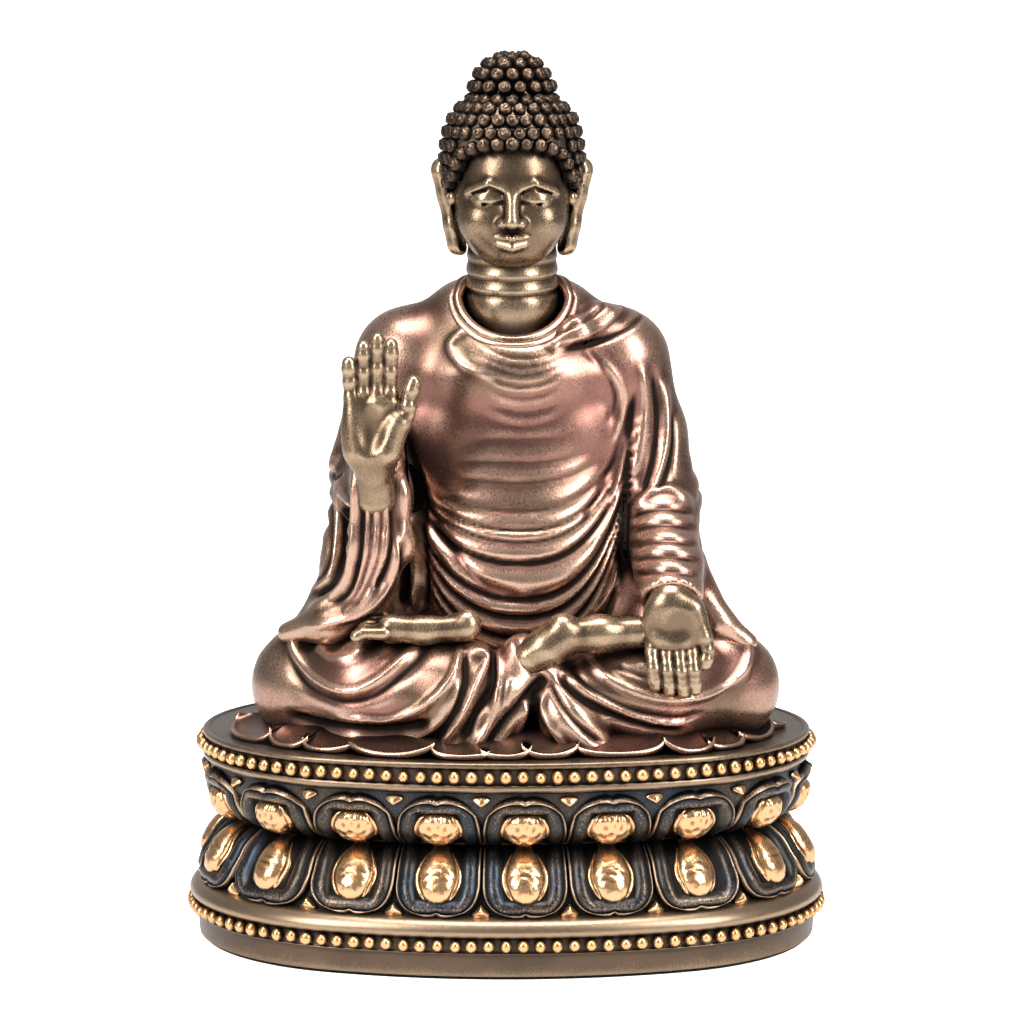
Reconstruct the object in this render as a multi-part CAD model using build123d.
from build123d import *

import os
from math import asin, atan2, cos, degrees, pi, radians, sin

# Seated Buddha on a double lotus throne, a cold-cast bronze desk statue.
# Frame: millimetres, +Z up, the statue faces -Y, and its right hand is on the -X side.
# The origin is the centre of the underside. Every casting is its own node in parts/.

# ---------------------------------------------------------------- driving sizes: throne
HALF_LENGTH = 91.0  # plan of the throne's wall, a four-centred oval
HALF_DEPTH = 65.5
END_RADIUS = 60.0  # radius of the oval's two ends
FELT_THICKNESS = 1.0
FELT_INSET = 1.4
PLINTH_HEIGHT = 17.6
PLINTH_GROOVE = 1.4  # the lower bead groove stands out this far from the wall
PLINTH_SHOULDER = 2.6  # and the round shoulder above it this far
SHOULDER_ROUND = 1.2  # how far the shoulder falls back before it turns in to the petals
WAIST_HEIGHT = 36.6
WAIST_INSET = 14.6  # how far the waist lies inside the wall
WAIST_CORD_RADIUS = 0.9
TIER_HEIGHT = 53.0  # top of the upper petals' tier
LOWER_CORE = (-2.6, -6.2, 28.6)  # lower tier: foot offset, then a point on its curve
UPPER_CORE = (-3.4, -5.2, 44.2)  # upper tier: top offset, then a point on its curve
DECK_TOP = 62.0
DECK_INSET = 1.6
DECK_EDGE = 0.9  # round on the deck's rim
BEAD_RADIUS = 1.8
BEAD_PITCH = 4.86
BEAD_SINK = 0.65  # how deep each bead sits in its groove
LOWER_BEAD_HEIGHT = 10.2
UPPER_BEAD_HEIGHT = 58.0
PETAL_COUNT = 18
PETAL_THICKNESS = 2.0
PETAL_GAP = 0.5
PETAL_SHIFT = 5.0  # the front petal's centre is this far right of the middle
PETAL_ARCH = 8.0  # height of a petal's rounded tip
PETAL_TIP_CLEARANCE = 0.5  # between a petal's tip and the band beyond it
JEWEL_RADIUS = 6.6
JEWEL_PROUD = 2.6  # how far each jewel stands out of its petal
LOWER_JEWEL_LENGTH = 13.5
UPPER_JEWEL_LENGTH = 8.5
SEPAL_RADIUS = 2.0
SEPAL_PROUD = 1.3
SEPAL_LENGTH = 3.8

# ---------------------------------------------------------------- driving sizes: figure
AXIS_X = 1.7  # the figure's upright axis
SEAT_TO_SHOULDER = 106.0
SHOULDER_SPREAD = 33.5
UPPER_ARM_RADIUS = 12.0
WRIST_RADIUS = 7.0
CHEST_HALF_WIDTH = 37.0
CHEST_HALF_DEPTH = 24.0
NECK_RADIUS = 11.6
NECK_FOOT = 120.0  # heights of the figure are counted from the deck
NECK_TOP = 150.0
CHIN = 136.0
HEAD_HALF_WIDTH = 18.0
HEAD_HALF_DEPTH = 20.5
HEAD_HALF_HEIGHT = 23.0
HAIR_THICKNESS = 1.6
CURL_RADIUS = 1.95
CURL_PITCH = 4.55
CURL_GLUE = 0.05  # glue line under a curl
TOPKNOT_RADIUS = 10.4
TOPKNOT_RISE = 14.4
COLLAR_RADIUS = 21.0
COLLAR_THICKNESS = 2.2
KNEE_SPREAD = 61.0
HIP_RADIUS = 20.0
KNEE_RADIUS = 15.0
LAP_RISE = 4.0  # the feet and the hanging sleeve lie this far above the knees
SHIN_RADIUS = 11.5
LEG_FLAT = 1.5  # how deep each leg is flattened where it rests on the deck
FOOT_WIDTH = 15.0
PALM_LENGTH = 22.0
PALM_WIDTH = 16.0
PALM_THICKNESS = 6.4
FINGER_RADIUS = 1.9
FINGER_LENGTHS = (15.0, 18.5, 20.0, 18.5)  # little finger first
THUMB_RADII = (3.2, 2.3, 1.8)  # root, joint and tip
HEM_THICKNESS = 4.0
HEM_INSET = 9.0  # from the wall to the hem's front

# ---------------------------------------------------------------- fits
DOWEL_RADIUS = 1.5
DOWEL_CLEARANCE = 0.05  # glue line round a dowel
DOWEL_END_GAP = 0.5
DOWEL_DEPTH = 4.5  # how far a dowel goes into each side

# ---------------------------------------------------------------- plan of the throne
END_CENTRE = HALF_LENGTH - END_RADIUS
FRONT_RADIUS = (HALF_DEPTH**2 + END_CENTRE**2 - END_RADIUS**2) / (2 * (HALF_DEPTH - END_RADIUS))
FRONT_CENTRE = FRONT_RADIUS - HALF_DEPTH
END_ANGLE = atan2(FRONT_CENTRE, END_CENTRE)  # half the angle that each end arc spans
FRONT_ANGLE = pi / 2 - END_ANGLE
INNER = -2 * WAIST_INSET  # where a moulded rim meets the plain middle of its casting


def oval(offset, height=0.0):
    """The throne's plan moved outwards by offset: two end arcs and two long arcs, all tangent."""
    end, front = END_RADIUS + offset, FRONT_RADIUS + offset
    end_deg, front_deg = degrees(END_ANGLE), degrees(FRONT_ANGLE)
    arcs = [
        CenterArc((END_CENTRE, 0), end, -end_deg, 2 * end_deg),
        CenterArc((0, -FRONT_CENTRE), front, 90 - front_deg, 2 * front_deg),
        CenterArc((-END_CENTRE, 0), end, 180 - end_deg, 2 * end_deg),
        CenterArc((0, FRONT_CENTRE), front, 270 - front_deg, 2 * front_deg),
    ]
    return Pos(0, 0, height) * Wire(arcs)


def oval_slab(offset, bottom, top):
    """A flat slab with the throne's plan."""
    return extrude(make_face(oval(offset, bottom)), top - bottom)


def perimeter(offset):
    """Length round the plan at an offset."""
    return 4 * END_ANGLE * (END_RADIUS + offset) + 4 * FRONT_ANGLE * (FRONT_RADIUS + offset)


def on_oval(distance, offset, rail):
    """(x, y, outward angle) of the place at an offset. Distance runs along the rail offset."""
    turn = abs(distance)
    front_length = FRONT_ANGLE * (FRONT_RADIUS + rail)
    end_length = 2 * END_ANGLE * (END_RADIUS + rail)
    if turn <= front_length:
        angle = turn / (FRONT_RADIUS + rail) - pi / 2
        centre, radius = (0, FRONT_CENTRE), FRONT_RADIUS
    elif turn <= front_length + end_length:
        angle = (turn - front_length) / (END_RADIUS + rail) - END_ANGLE
        centre, radius = (END_CENTRE, 0), END_RADIUS
    else:
        angle = (turn - front_length - end_length) / (FRONT_RADIUS + rail) + END_ANGLE
        centre, radius = (0, -FRONT_CENTRE), FRONT_RADIUS
    x = centre[0] + (radius + offset) * cos(angle)
    y = centre[1] + (radius + offset) * sin(angle)
    return (x, y, angle) if distance >= 0 else (-x, y, pi - angle)


def places(count, rail, shift=0.0):
    """Distances along the rail of evenly spaced places, each between -half and +half of it."""
    whole = perimeter(rail)
    return [(index * whole / count + shift + whole / 2) % whole - whole / 2 for index in range(count)]


def ring(section):
    """Carries a section, drawn as (offset, height), round the throne's plan."""
    upright = Plane.XZ * section
    return sweep(Pos(HALF_LENGTH, 0, 0) * upright, path=oval(0))


def outline(*edges):
    """A closed face from its edges in order."""
    return make_face(Wire(list(edges)))


def straight(*points):
    """Straight edges through (offset, height) points."""
    return [Line(a, b) for a, b in zip(points, points[1:])]


SEATED = (Align.CENTER, Align.CENTER, Align.MIN)  # a shape that stands on its frame's plane


# ---------------------------------------------------------------- throne
def plinth():
    """The bottom ring: a plain wall, a bead groove, and a round shoulder under the petals."""
    low, high = LOWER_BEAD_HEIGHT - BEAD_RADIUS - 0.2, LOWER_BEAD_HEIGHT + BEAD_RADIUS
    wall = straight(
        (INNER, FELT_THICKNESS), (0, FELT_THICKNESS), (0.3, low - 1), (PLINTH_GROOVE, low),
        (PLINTH_GROOVE, high), (PLINTH_SHOULDER, high + 0.8),
    )
    crown = (LOWER_CORE[0], PLINTH_HEIGHT)
    widest = (PLINTH_SHOULDER, high + 0.8)
    turn = (PLINTH_SHOULDER - SHOULDER_ROUND, PLINTH_HEIGHT - 1.6)
    shoulder = ThreePointArc(widest, turn, crown)
    close = straight(crown, (INNER, PLINTH_HEIGHT), (INNER, FELT_THICKNESS))
    return ring(outline(*wall, shoulder, *close)) + oval_slab(INNER, FELT_THICKNESS, PLINTH_HEIGHT)


def tier_curve(core, end_height, skin):
    """A tier's outside, from its wide edge to the waist, moved out by the petals' thickness."""
    wide, middle = (core[0] + skin, end_height), (core[1] + skin, core[2])
    return ThreePointArc(wide, middle, (skin - WAIST_INSET, WAIST_HEIGHT))


def tier_rim(core, end_height, skin=0.0):
    """The rim of a tier, either its core alone or with a petals' skin on it."""
    curve = tier_curve(core, end_height, skin)
    close = straight(curve @ 1, (INNER, WAIST_HEIGHT), (INNER, end_height), curve @ 0)
    return ring(outline(curve, *close))


def tier_core(core, end_height):
    """A tier's casting: its rim and the plain middle inside it."""
    middle = oval_slab(INNER, min(end_height, WAIST_HEIGHT), max(end_height, WAIST_HEIGHT))
    return tier_rim(core, end_height) + middle


def petal_layer(core, end_height):
    """The layer that the petals are cut from: between the core and the petals' outside."""
    inner, outer = tier_curve(core, end_height, 0), tier_curve(core, end_height, PETAL_THICKNESS)
    ends = [Line(inner @ 0, outer @ 0), Line(inner @ 1, outer @ 1)]
    return ring(make_face(Wire([ends[0], outer, ends[1], inner])))


def deck():
    """The top casting: a flat seat with a rounded rim."""
    seat = oval_slab(-DECK_INSET, TIER_HEIGHT, DECK_TOP)
    return fillet(seat.faces().sort_by(Axis.Z)[-1].edges(), DECK_EDGE)


def bead_row(height, wall):
    """A row of beads seated in a groove whose wall is at an offset, each one its own solid."""
    offset = wall + BEAD_SINK
    flat = degrees(asin(BEAD_SINK / BEAD_RADIUS))
    beads = []
    for distance in places(int(perimeter(offset) / BEAD_PITCH), offset):
        x, y, outward = on_oval(distance, offset, offset)
        seat = Plane((x, y, height), z_dir=(cos(outward), sin(outward), 0))
        foot = seat.location * Pos(0, 0, -BEAD_SINK)
        beads.append(foot * Sphere(BEAD_RADIUS, arc_size1=-flat, align=SEATED))
    return beads


def facing(distance, offset, height, lean=0.0):
    """A place on the petals' wall: x along it, y up, z outwards, leaned back about x."""
    x, y, outward = on_oval(distance, offset, -WAIST_INSET)
    frame = Plane((x, y, height), (-sin(outward), cos(outward), 0), (cos(outward), sin(outward), 0))
    return frame.location * Rot(X=lean)


def petal_wedge(distance):
    """The upright wedge between a petal's two neighbours."""
    half = perimeter(-WAIST_INSET) / PETAL_COUNT / 2
    corners = []
    for side, offset in ((-1, INNER), (-1, 9), (1, 9), (1, INNER)):
        x, y, outward = on_oval(distance + side * half, offset, -WAIST_INSET)
        back = -side * PETAL_GAP / 2
        corners.append((x - back * sin(outward), y + back * cos(outward)))
    return extrude(make_face(Polyline(*corners, close=True)), TIER_HEIGHT)


def petal_arch(distance, tip, up):
    """What a petal's rounded tip is cut to: an ellipse on a block, up is 1 or -1."""
    half = perimeter(-WAIST_INSET) / PETAL_COUNT / 2
    ahead, behind = on_oval(distance + half, 0, -WAIST_INSET), on_oval(distance - half, 0, -WAIST_INSET)
    width = (Vector(*ahead[:2]) - Vector(*behind[:2])).length
    shoulder = tip - up * PETAL_ARCH
    root = WAIST_HEIGHT + up * (WAIST_CORD_RADIUS + 0.3)
    tip_side = Pos(0, shoulder + up * PETAL_ARCH / 2) * Rectangle(width, PETAL_ARCH)
    face = (Pos(0, shoulder) * Ellipse(width / 2, PETAL_ARCH)) & tip_side
    face = face + Pos(0, (shoulder + root) / 2) * Rectangle(width, abs(shoulder - root))
    reach = 40
    return extrude(facing(distance, -reach / 2, 0) * face, reach)


def petals(core, end_height, tip, up):
    """One petal per place round the tier."""
    layer = petal_layer(core, end_height)
    spots = places(PETAL_COUNT, -WAIST_INSET, PETAL_SHIFT)
    return [layer & petal_wedge(spot) & petal_arch(spot, tip, up) for spot in spots]


def boss(radius, length, proud):
    """A lens-shaped boss along y, sunk so that it stands proud of z = 0."""
    foot, tip = (0, -length / 2), (0, length / 2)
    profile = outline(ThreePointArc(foot, (radius, 0), tip), Line(tip, foot))
    return Pos(0, 0, proud - radius) * revolve(profile, Axis.Y)


def bosses(core, end_height, share, sizes, skin, half_step):
    """Bosses on a tier's outside at a share of its curve, seated on it, between petals or on them."""
    curve = tier_curve(core, end_height, skin)
    spot, along = curve @ share, curve % share
    lean = degrees(atan2(along.X, along.Y)) if along.Y > 0 else degrees(atan2(-along.X, -along.Y))
    seat = tier_rim(core, end_height, skin)
    shift = PETAL_SHIFT + (perimeter(-WAIST_INSET) / PETAL_COUNT / 2 if half_step else 0)
    found = []
    for distance in places(PETAL_COUNT, -WAIST_INSET, shift):
        found.append(facing(distance, spot.X, spot.Y, lean) * boss(*sizes) - seat)
    return found


# ---------------------------------------------------------------- figure helpers
def high(height):
    """A height above the deck as a height in this frame."""
    return DECK_TOP + height


def ball(centre, radii, turn=0.0):
    """A ball stretched to three radii and turned about x."""
    return Pos(*centre) * Rot(X=turn) * scale(Sphere(1), by=radii)


def limb(points, sizes):
    """A tapering round limb through the points, with a ball at each of them."""
    body = Pos(*points[0]) * Sphere(sizes[0])
    for start, end, first, last in zip(points, points[1:], sizes, sizes[1:]):
        along = Vector(*end) - Vector(*start)
        cone = loft([Plane(start, z_dir=along) * Circle(first), Plane(end, z_dir=along) * Circle(last)])
        body = body + cone + Pos(*end) * Sphere(last)
    return body


def pin(start, end, radius=DOWEL_RADIUS, gap=0.0):
    """A steel locating pin from start to end, made longer by a gap at both ends for its hole."""
    along = Vector(*end) - Vector(*start)
    body = Cylinder(radius, along.length + 2 * gap, align=SEATED)
    return Plane(start, z_dir=along).location * (Pos(0, 0, -gap) * body)


def pin_hole(start, end):
    """The hole for a pin, in every piece that it passes through."""
    return pin(start, end, DOWEL_RADIUS + DOWEL_CLEARANCE, DOWEL_END_GAP)


def stacked(sections):
    """Straight-sided stages through level ellipses: (height, x, y, half width, half depth)."""
    faces = [Pos(x, y, z) * Ellipse(half_x, half_y) for z, x, y, half_x, half_y in sections]
    return loft(faces, ruled=True)


# ---------------------------------------------------------------- figure
SHOULDER = high(SEAT_TO_SHOULDER)
LAP = high(2 * KNEE_RADIUS + LAP_RISE)
HEAD_Y = 3.0
HEAD_CENTRE = (AXIS_X, HEAD_Y, high(CHIN) + HEAD_HALF_HEIGHT)
HEAD_RADII = (HEAD_HALF_WIDTH, HEAD_HALF_DEPTH, HEAD_HALF_HEIGHT)
HAIR_RADII = tuple(radius + HAIR_THICKNESS for radius in HEAD_RADII)
RIGHT_ELBOW = (AXIS_X - SHOULDER_SPREAD - 9, 2, high(68))
RIGHT_WRIST = (-37, -36, high(76))
LEFT_ELBOW = (AXIS_X + SHOULDER_SPREAD + 9, 2, high(66))
LEFT_WRIST = (47, -30, high(47))
RIGHT_HAND = (1, 6)  # raised, and leaned this many degrees to the front
LEFT_HAND = (-1, -12)  # lowered, its fingers to the front
RIGHT_KNEE = (-KNEE_SPREAD, -14, high(KNEE_RADIUS - LEG_FLAT))
LEFT_KNEE = (KNEE_SPREAD + 3, -14, high(KNEE_RADIUS - LEG_FLAT))


def torso():
    """The robed torso from the seat to the neck."""
    wide, deep = CHEST_HALF_WIDTH, CHEST_HALF_DEPTH
    return stacked([
        (DECK_TOP, 0, 12, 0.86 * wide, 1.12 * deep),
        (high(30), 0, 6, 0.84 * wide, 1.10 * deep),
        (high(56), 0, 4, 0.86 * wide, 1.02 * deep),
        (high(80), AXIS_X, 5, 0.98 * wide, deep),
        (high(98), AXIS_X, 6, 1.10 * wide, 0.94 * deep),
        (high(111), AXIS_X, 7, 1.02 * wide, 0.76 * deep),
        (high(120), AXIS_X, 7, 0.76 * wide, 0.66 * deep),
        (high(127), AXIS_X, 7, 0.50 * wide, 0.56 * deep),
    ])


def sleeve(side, elbow, wrist):
    """A robed arm: side is -1 for the statue's right arm and 1 for its left."""
    shoulder = (AXIS_X + side * SHOULDER_SPREAD, 7, SHOULDER - 4)
    return limb([shoulder, elbow, wrist], [UPPER_ARM_RADIUS, UPPER_ARM_RADIUS - 0.5, WRIST_RADIUS])


def leg(side, knee, shin_end):
    """A robed leg from the hip to the knee, then the shin crossing in front."""
    hip = (side * 21, 18, high(HIP_RADIUS - LEG_FLAT))
    return limb([hip, knee, shin_end], [HIP_RADIUS, KNEE_RADIUS, SHIN_RADIUS])


def hem():
    """The gathered hem that lies on the deck in front of the legs and beside them."""
    sheet = oval_slab(-HEM_INSET, DECK_TOP, high(HEM_THICKNESS))
    back = Pos(0, HALF_DEPTH, DECK_TOP) * Box(3 * HALF_LENGTH, 2 * HALF_DEPTH - 24, 4 * HEM_THICKNESS)
    return sheet - back


def palm(wrist, up, lean):
    """A palm in the wrist's frame: up is 1 for a raised hand and -1 for a lowered one."""
    slab = extrude(RectangleRounded(PALM_WIDTH, PALM_LENGTH, PALM_WIDTH / 3), PALM_THICKNESS / 2, both=True)
    slab = fillet(slab.faces().filter_by(Axis.Z).edges(), PALM_THICKNESS / 3)
    return Pos(*wrist) * Rot(X=90 + lean) * Pos(0, up * PALM_LENGTH / 2, 0) * slab


def hand(wrist, up, lean, thumb_side, little_side):
    """A hand with its palm to the front: fingers side by side and a thumb at one side."""
    frame = Pos(*wrist) * Rot(X=90 + lean)
    body = palm(wrist, up, lean)
    pitch = 2 * FINGER_RADIUS + 0.05
    for index, length in enumerate(FINGER_LENGTHS):
        x = little_side * (1.5 - index) * pitch
        root, tip = (x, up * (PALM_LENGTH - 4), 0), (x, up * (PALM_LENGTH + length - FINGER_RADIUS), 0)
        body = body + frame * limb([root, tip], [FINGER_RADIUS, FINGER_RADIUS - 0.3])
    side = thumb_side * PALM_WIDTH / 2
    thumb = [(side - thumb_side * 3, up * 8, 1), (side + thumb_side * 1.2, up * 17, 1.5)]
    thumb.append((side + thumb_side * 1.5, up * 25, 1))
    return body + frame * limb(thumb, THUMB_RADII)


def foot(heel, ball_of_foot, toes):
    """A bare foot lying sole up on the opposite thigh."""
    return limb([heel, ball_of_foot, toes], [0.42 * FOOT_WIDTH, 0.48 * FOOT_WIDTH, 0.34 * FOOT_WIDTH])


def neck():
    """Bare chest and neck: wide inside the collar, then the round neck up into the head."""
    return stacked([
        (high(NECK_FOOT - 4), AXIS_X, 1, COLLAR_RADIUS - COLLAR_THICKNESS, 15),
        (high(NECK_FOOT + 4), AXIS_X, 1, 15.5, 14),
        (high(NECK_FOOT + 10), AXIS_X, 2, NECK_RADIUS + 0.8, NECK_RADIUS + 0.8),
        (high(NECK_TOP), AXIS_X, 3, NECK_RADIUS, NECK_RADIUS),
    ])


def hair_cap():
    """The hair's shell over the skull, open at the face, its edge from the brow to the nape."""
    shell = ball(HEAD_CENTRE, HAIR_RADII)
    brow = (AXIS_X, HEAD_Y - HEAD_HALF_DEPTH, HEAD_CENTRE[2] + 11)
    keep = Pos(*brow) * Rot(X=-42) * Pos(0, 0, 60) * Box(120, 120, 120)
    return shell & keep


def curl_places(centre, radii, rows):
    """Tangent planes of curls on an oval dome: rows of (latitude, half the front's open angle)."""
    found = []
    for turn, (latitude, opening) in enumerate(rows):
        lat = radians(latitude)
        round_length = 2 * pi * (radii[0] + radii[1]) / 2 * cos(lat)
        count = max(1, int(round_length / CURL_PITCH))
        for index in range(count):
            azimuth = 360 * (index + 0.5 * (turn % 2)) / count
            if min(abs(azimuth - 270), 360 - abs(azimuth - 270)) < opening:
                continue
            unit = (cos(lat) * cos(radians(azimuth)), cos(lat) * sin(radians(azimuth)), sin(lat))
            spot = [mid + part * (radius + CURL_GLUE) for mid, part, radius in zip(centre, unit, radii)]
            outward = [part / radius for part, radius in zip(unit, radii)]
            found.append(Plane(tuple(spot), z_dir=tuple(outward)))
    return found


def curls(planes):
    """Small round curls, each a half ball seated on the hair."""
    return [plane.location * Sphere(CURL_RADIUS, arc_size1=0, align=SEATED) for plane in planes]


def along_hand(wrist, up, lean, distance):
    """A point on a hand's long axis, at a distance from the wrist towards the fingers."""
    angle = radians(90 + lean)
    return wrist[0], wrist[1] + up * distance * cos(angle), wrist[2] + up * distance * sin(angle)


def wrist_pin(wrist, up, lean):
    """The pin between a cuff and its hand."""
    cuff = WRIST_RADIUS
    return along_hand(wrist, up, lean, cuff - DOWEL_DEPTH), along_hand(wrist, up, lean, cuff + DOWEL_DEPTH)


def figure_pins():
    """Pins between the deck and the figure: two under the torso and one under each knee."""
    low, top = high(-DOWEL_DEPTH), high(HEM_THICKNESS + DOWEL_DEPTH)
    spots = [(0, 4), (0, 28), (RIGHT_KNEE[0] + 3, RIGHT_KNEE[1] + 2), (LEFT_KNEE[0] - 3, LEFT_KNEE[1] + 2)]
    return [((x, y, low), (x, y, top)) for x, y in spots]


def ear(side):
    """A long-lobed ear against the side of the head."""
    x = AXIS_X + side * (HEAD_HALF_WIDTH + 1.2)
    top, middle = (x + side * 1.2, HEAD_Y + 2, high(162)), (x + side * 0.6, HEAD_Y + 1, high(150))
    lobe = (x - side * 1.6, HEAD_Y + 1, high(140))
    return limb([top, middle, lobe], [3.0, 2.4, 2.6])


def write(name, shape):
    """One STEP file for a node. A list is a group of separate solids."""
    pieces = shape if isinstance(shape, (list, ShapeList)) else [shape]
    solids = [solid for piece in pieces for solid in piece.solids()]
    whole = solids[0] if len(solids) == 1 else Compound(children=solids)
    whole.label = name
    export_step(whole, f"parts/{name}.step")
    print(f"{name:24s} {len(solids):4d} solids  {sum(s.volume for s in solids):10.1f} mm3")


def cut(shape, *others):
    """A shape with its neighbours taken out of it, largest remaining piece only."""
    for other in others:
        shape = shape - other
    return shape.solids().sort_by(SortBy.VOLUME)[-1]


def throne_pins():
    """Pairs of pins across each of the throne's three seams."""
    found = []
    for height in (PLINTH_HEIGHT, WAIST_HEIGHT, TIER_HEIGHT):
        for side in (-1, 1):
            x = side * (HALF_LENGTH + INNER)
            found.append(((x, 0, height - DOWEL_DEPTH), (x, 0, height + DOWEL_DEPTH)))
    return found


def write_throne(figure_holes):
    """Every node of the throne, from the felt up."""
    pins = throne_pins()
    holes = [pin_hole(*ends) for ends in pins]
    cord = ring(Pos(-WAIST_INSET + 0.5, WAIST_HEIGHT) * Circle(WAIST_CORD_RADIUS))
    write("felt_pad", oval_slab(-FELT_INSET, 0, FELT_THICKNESS))
    write("plinth", plinth() - holes[:2])
    write("lower_beads", bead_row(LOWER_BEAD_HEIGHT, PLINTH_GROOVE))
    write("lower_lotus_core", tier_core(LOWER_CORE, PLINTH_HEIGHT) - cord - holes[:4])
    write("waist_cord", cord)
    write("upper_lotus_core", tier_core(UPPER_CORE, TIER_HEIGHT) - cord - holes[2:])
    low_tip, high_tip = PLINTH_HEIGHT + PETAL_TIP_CLEARANCE, TIER_HEIGHT - PETAL_TIP_CLEARANCE
    low_row = petals(LOWER_CORE, PLINTH_HEIGHT, low_tip, -1)
    high_row = petals(UPPER_CORE, TIER_HEIGHT, high_tip, 1)
    write("lower_petals", low_row)
    write("upper_petals", high_row)
    lower = (JEWEL_RADIUS, LOWER_JEWEL_LENGTH, JEWEL_PROUD)
    upper = (JEWEL_RADIUS, UPPER_JEWEL_LENGTH, JEWEL_PROUD)
    write("lower_jewels", bosses(LOWER_CORE, PLINTH_HEIGHT, 0.45, lower, PETAL_THICKNESS, False))
    write("upper_jewels", bosses(UPPER_CORE, TIER_HEIGHT, 0.52, upper, PETAL_THICKNESS, False))
    sepal = (SEPAL_RADIUS, SEPAL_LENGTH, SEPAL_PROUD)
    low_tips = bosses(LOWER_CORE, PLINTH_HEIGHT, 0.13, sepal, 0, True)
    high_tips = bosses(UPPER_CORE, TIER_HEIGHT, 0.13, sepal, 0, True)
    write("lower_sepals", [cut(one, *low_row) for one in low_tips])
    write("upper_sepals", [cut(one, *high_row) for one in high_tips])
    write("deck", deck() - holes[4:] - figure_holes)
    write("upper_beads", bead_row(UPPER_BEAD_HEIGHT, -DECK_INSET))
    write("throne_dowels", [pin(*ends) for ends in pins])


def arms():
    """Both robed arms, and the part of the right sleeve that hangs to the lap."""
    right, left = sleeve(-1, RIGHT_ELBOW, RIGHT_WRIST), sleeve(1, LEFT_ELBOW, LEFT_WRIST)
    drape_top = (RIGHT_WRIST[0] - 7, RIGHT_WRIST[1] + 14, RIGHT_WRIST[2] - 6)
    drape_foot = (RIGHT_WRIST[0] - 12, RIGHT_WRIST[1] + 10, LAP)
    return right, left, limb([drape_top, drape_foot], [8.5, 8.0])


def neck_pin():
    """The pin between the neck and the head."""
    return (AXIS_X, HEAD_Y, high(NECK_TOP) - DOWEL_DEPTH), (AXIS_X, HEAD_Y, high(NECK_TOP) + DOWEL_DEPTH)


def write_head(neck_piece):
    """Head, ears, hair and topknot, each one cut to the piece that it sits on."""
    skull = ball(HEAD_CENTRE, HEAD_RADII)
    cap_outside = ball(HEAD_CENTRE, HAIR_RADII)
    crown = HEAD_CENTRE[2] + HAIR_RADII[2]
    knot_centre = (AXIS_X, HEAD_Y + 1, crown + TOPKNOT_RISE - TOPKNOT_RADIUS - CURL_RADIUS)
    knot = Pos(*knot_centre) * Sphere(TOPKNOT_RADIUS)
    knot_rows = [(-8, 0), (17, 0), (42, 0), (66, 0), (90, 0)]
    cap_rows = [(55, 0), (43, 0), (32, 0), (21, 52), (10, 108), (-1, 108), (-12, 108), (-23, 108)]
    head = cut(skull, neck_piece, pin_hole(*neck_pin()))
    write("head", head)
    write("hair_cap", cut(hair_cap(), skull, neck_piece))
    for name, side in (("right_ear", -1), ("left_ear", 1)):
        write(name, cut(ear(side), cap_outside, neck_piece))
    write("topknot", cut(knot, cap_outside))
    knot_radii = (TOPKNOT_RADIUS,) * 3
    write("topknot_curls", curls(curl_places(knot_centre, knot_radii, knot_rows)))
    write("hair_curls", curls(curl_places(HEAD_CENTRE, HAIR_RADII, cap_rows)))
    write("neck_dowel", pin(*neck_pin()))


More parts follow.
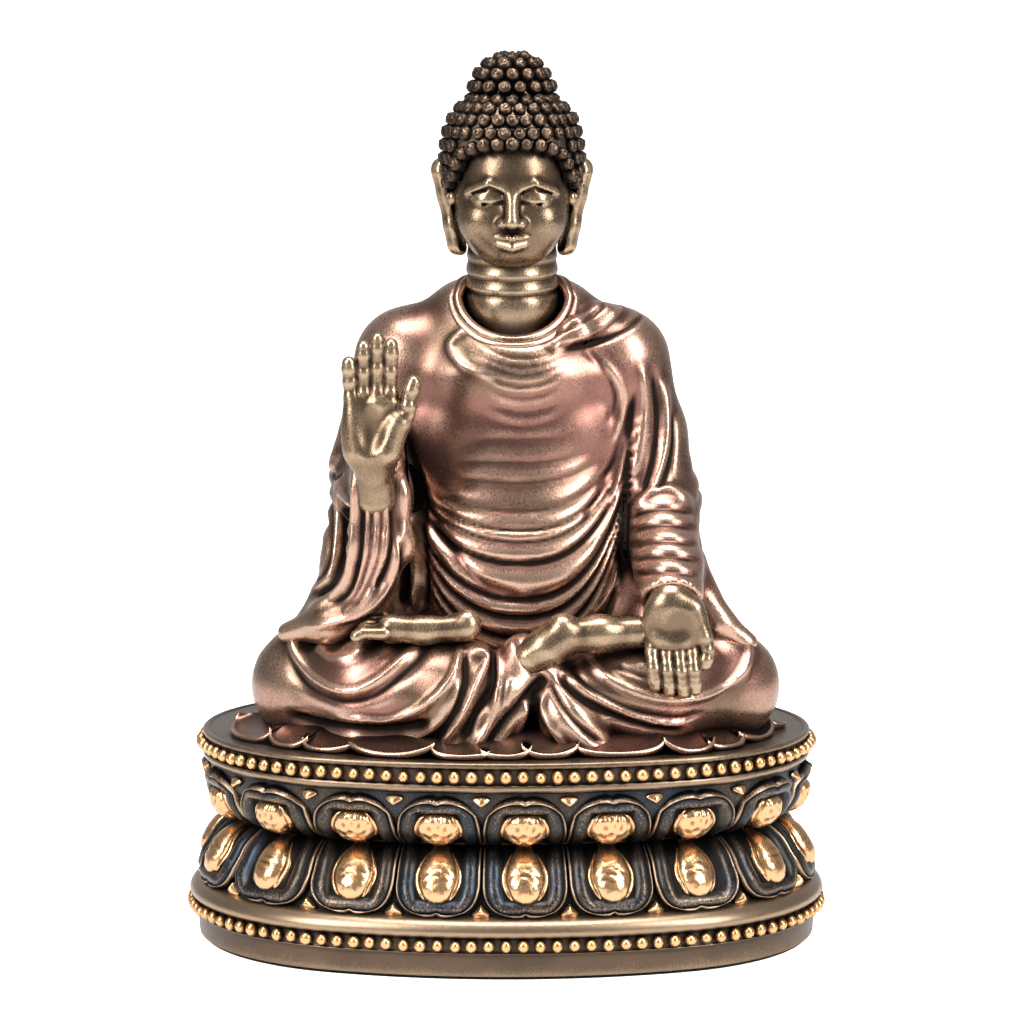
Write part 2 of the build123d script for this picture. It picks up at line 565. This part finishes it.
def write_body(pins):
    """The robed body and limbs, each cut to the ones it lies on, and the holes for the pins."""
    hem_piece = hem()
    right_leg = leg(-1, RIGHT_KNEE, (4, -38, high(SHIN_RADIUS + 4)))
    left_leg = leg(1, LEFT_KNEE, (14, -30, high(SHIN_RADIUS - LEG_FLAT)))
    below = Pos(0, 0, DECK_TOP - 50) * Box(300, 300, 100)
    body, neck_piece = torso(), neck()
    collar = Pos(AXIS_X, -1, high(NECK_FOOT + 4)) * Rot(X=18) * Torus(COLLAR_RADIUS, COLLAR_THICKNESS)
    right_arm, left_arm, drape = arms()
    legs = (right_leg, left_leg, hem_piece, below)
    write("robe_hem", cut(hem_piece, *pins))
    write("right_leg_drape", cut(right_leg, below, hem_piece, *pins))
    write("left_leg_drape", cut(left_leg, below, hem_piece, right_leg, *pins))
    lap = limb([(AXIS_X, -34, high(24)), (AXIS_X + 8, -44, high(8))], [12, 9])
    lap_piece = cut(lap, below, hem_piece, right_leg, left_leg, body)
    write("lap_drape", lap_piece)
    write("robe_body", cut(body, right_leg, left_leg, hem_piece, neck_piece, collar, *pins))
    write("neck", cut(neck_piece, pin_hole(*neck_pin())))
    write("collar_trim", cut(collar, neck_piece))
    wrists = (pin_hole(*wrist_pin(RIGHT_WRIST, *RIGHT_HAND)), pin_hole(*wrist_pin(LEFT_WRIST, *LEFT_HAND)))
    write("right_sleeve", cut(right_arm, body, *legs, wrists[0]))
    write("left_sleeve", cut(left_arm, body, collar, *legs, wrists[1]))
    write("hanging_sleeve", cut(drape, right_arm, body, *legs))
    flap = limb([(AXIS_X + 20, -8, high(NECK_FOOT + 2)), (AXIS_X + 40, -2, high(NECK_FOOT - 10))], [4, 6])
    write("shoulder_flap", cut(flap, body, neck_piece, collar, left_arm))
    right_hand = hand(RIGHT_WRIST, *RIGHT_HAND, 1, -1)
    left_hand = hand(LEFT_WRIST, *LEFT_HAND, 1, -1)
    write("right_hand", cut(right_hand, right_arm, drape, body, *legs, wrists[0]))
    write("left_hand", cut(left_hand, left_arm, body, *legs, wrists[1]))
    right_foot = foot((16, -39, LAP), (29, -35, LAP), (37, -32, LAP + 1))
    left_foot = foot((-8, -38, LAP), (-32, -38, LAP), (-44, -38, LAP))
    write("right_foot", cut(right_foot, *legs, body, lap_piece, left_arm, left_hand, wrists[1]))
    write("left_foot", cut(left_foot, *legs, body, right_arm, drape, lap_piece))
    return neck_piece


def write_figure(pins):
    """Every node of the figure and its pins."""
    neck_piece = write_body([pin_hole(*ends) for ends in pins])
    write_head(neck_piece)
    write("figure_dowels", [pin(*ends) for ends in pins])
    write("right_wrist_dowel", pin(*wrist_pin(RIGHT_WRIST, *RIGHT_HAND)))
    write("left_wrist_dowel", pin(*wrist_pin(LEFT_WRIST, *LEFT_HAND)))


def main():
    os.makedirs("parts", exist_ok=True)
    pins = figure_pins()
    write_figure(pins)
    write_throne([pin_hole(*ends) for ends in pins])


main()
